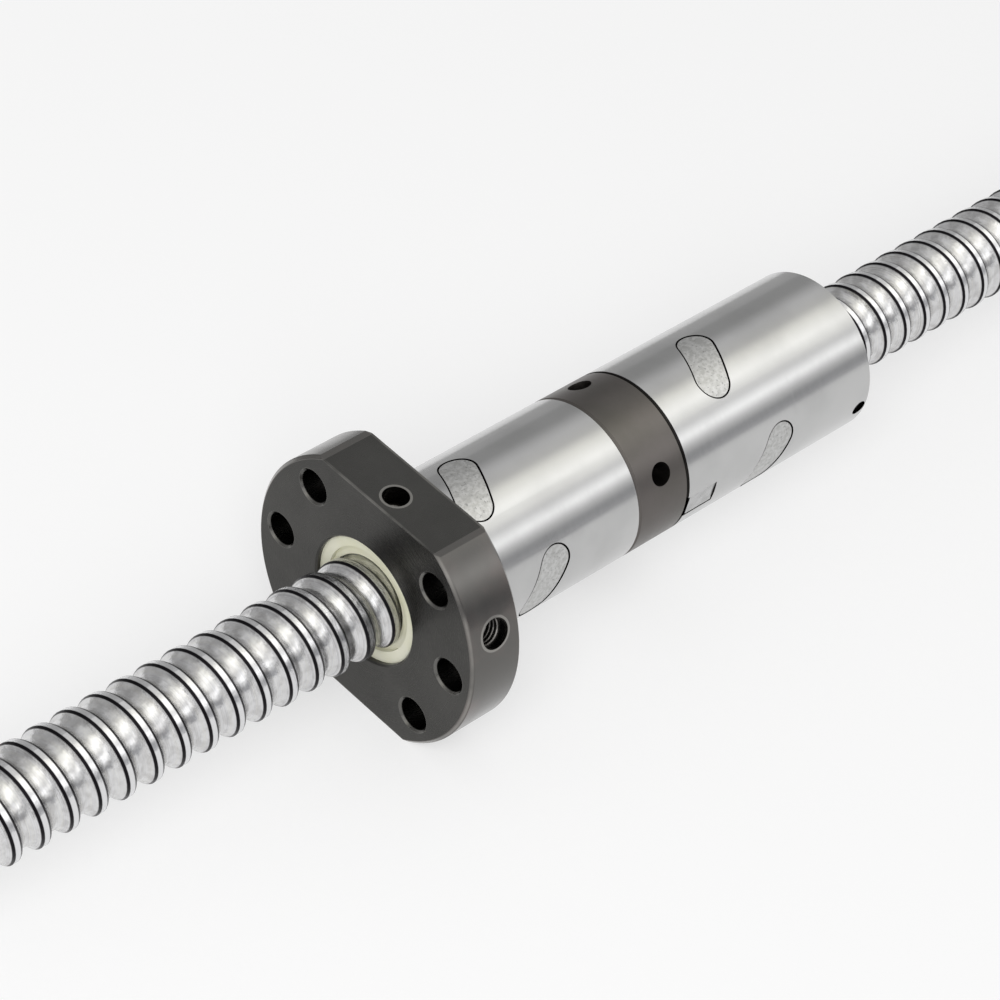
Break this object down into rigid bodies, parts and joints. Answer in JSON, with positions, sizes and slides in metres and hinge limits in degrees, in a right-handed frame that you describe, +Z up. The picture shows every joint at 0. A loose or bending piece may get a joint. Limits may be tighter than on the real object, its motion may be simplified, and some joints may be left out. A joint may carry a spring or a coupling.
{
  "type": "ball screw with flanged double nut",
  "caption": "Straight ground screw with a helical ball groove, carrying a flanged double nut with a spacer ring, internal ball returns and nylon end wipers.",
  "frame": {"origin": "centre of the flange's mounting face, on the screw's axis", "axes": "+X along the screw, from the flange towards the plain rear nut; +Z up, square to the flange's two flats"},
  "size_m": [0.29, 0.048, 0.04],
  "materials": {
    "screw_steel": "ground and polished",
    "front_nut_steel": "ground barrel, black flange",
    "spacer_steel": "dark browned",
    "rear_nut_steel": "ground",
    "key_steel": "drawn",
    "wiper_nylon": "satin",
    "black_steel": "black oxide",
    "return_cast": "sintered",
    "ball_steel": "polished"
  },
  "bodies": {
    "nut": {"flanged_nut": "front_nut_steel", "spacer_ring": "spacer_steel", "rear_nut": "rear_nut_steel", "locking_key": "key_steel", "front_wiper": "wiper_nylon", "stop_screw": "black_steel", "front_return_1": "return_cast", "front_balls_1": "ball_steel", "front_return_2": "return_cast", "front_balls_2": "ball_steel", "front_return_3": "return_cast", "front_balls_3": "ball_steel", "front_return_4": "return_cast", "front_balls_4": "ball_steel", "rear_return_1": "return_cast", "rear_balls_1": "ball_steel", "rear_return_2": "return_cast", "rear_balls_2": "ball_steel", "rear_return_3": "return_cast", "rear_balls_3": "ball_steel", "rear_return_4": "return_cast", "rear_balls_4": "ball_steel"},
    "wiper_ring": {"rear_wiper": "wiper_nylon"},
    "screw": {"screw_shaft": "screw_steel"}
  },
  "joints": [
    {"name": "screw_turn", "type": "hinge", "parent": "nut", "child": "wiper_ring", "pos_m": [0.088, 0, 0], "axis": [1, 0, 0], "range_deg": [-4320, 4320]},
    {"name": "screw_travel", "type": "slide", "parent": "wiper_ring", "child": "screw", "axis": [1, 0, 0], "range_m": [-0.06096, 0.06096]}
  ],
  "couplings": [
    {"joint": "screw_turn", "follows": "screw_travel", "rad_per_m": 1236.8}
  ]
}
